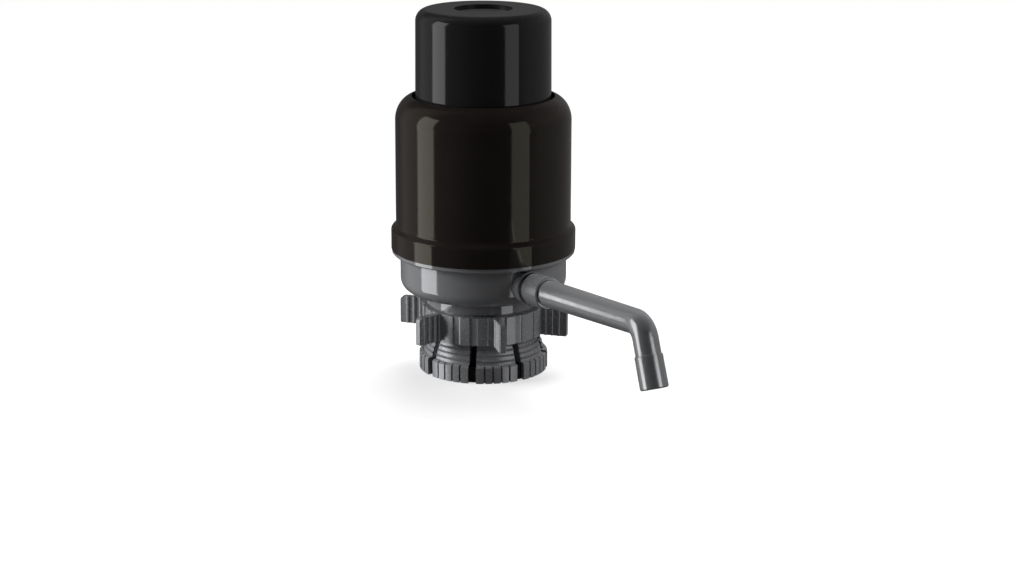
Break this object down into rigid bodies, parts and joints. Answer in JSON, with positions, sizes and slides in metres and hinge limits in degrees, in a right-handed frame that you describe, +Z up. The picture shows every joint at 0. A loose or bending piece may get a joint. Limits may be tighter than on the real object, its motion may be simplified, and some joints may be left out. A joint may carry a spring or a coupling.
{
  "type": "water jug pump",
  "caption": "Hand-pressed water jug pump with a round push button, dark casing, swivelling bent spout and a winged nut that clamps it to a bottle neck.",
  "frame": {"origin": "centre of the clamping crown's foot, on the axis of the bottle neck", "axes": "+Z up along the pump's axis, +X from the axis towards the spout, +Y to the left of the spout"},
  "size_m": [0.2603, 0.118, 0.2324],
  "materials": {
    "button_black": "polished moulded ABS",
    "casing_black": "polished moulded ABS",
    "body_grey": "satin moulded ABS",
    "clamp_grey": "satin moulded polypropylene",
    "spout_grey": "satin moulded polypropylene",
    "seal_rubber": "moulded rubber",
    "bellows_rubber": "moulded rubber",
    "inner_plastic": "natural moulded polypropylene",
    "spring_steel": "stainless spring wire"
  },
  "bodies": {
    "base": {"casing": "casing_black", "base_bowl": "body_grey", "bellows": "bellows_rubber", "clamp_ring": "inner_plastic", "return_spring": "spring_steel", "valve_plate": "inner_plastic", "valve_cage": "inner_plastic", "delivery_valve": "seal_rubber", "outlet_elbow": "inner_plastic", "elbow_seal": "seal_rubber", "neck_collet": "clamp_grey", "neck_gasket": "seal_rubber", "grip_sleeve": "seal_rubber"},
    "button": {"push_button": "button_black", "pusher_plate": "inner_plastic", "spring_cap": "inner_plastic"},
    "intake_flap": {"intake_valve": "seal_rubber"},
    "spout": {"spout_seal": "seal_rubber", "spout_collar": "spout_grey", "spout_tube": "spout_grey", "spout_nozzle": "spout_grey"},
    "nut": {"wing_nut": "clamp_grey"}
  },
  "joints": [
    {"name": "button_press", "type": "slide", "parent": "base", "child": "button", "axis": [0, 0, -1], "range_m": [0, 0.042], "stiffness_N_per_m": 500, "springref_m": -0.012, "deforming": ["bellows", "return_spring"]},
    {"name": "spout_swivel", "type": "hinge", "parent": "base", "child": "spout", "pos_m": [0, 0, 0.062], "axis": [0.9979, 0, 0.0645], "continuous": true},
    {"name": "nut_turn", "type": "hinge", "parent": "base", "child": "nut", "pos_m": [0, 0, 0.0334], "axis": [0, 0, 1], "range_deg": [-540, 180]},
    {"name": "intake_lift", "type": "slide", "parent": "base", "child": "intake_flap", "axis": [0, 0, 1], "range_m": [0, 0.0015]}
  ]
}
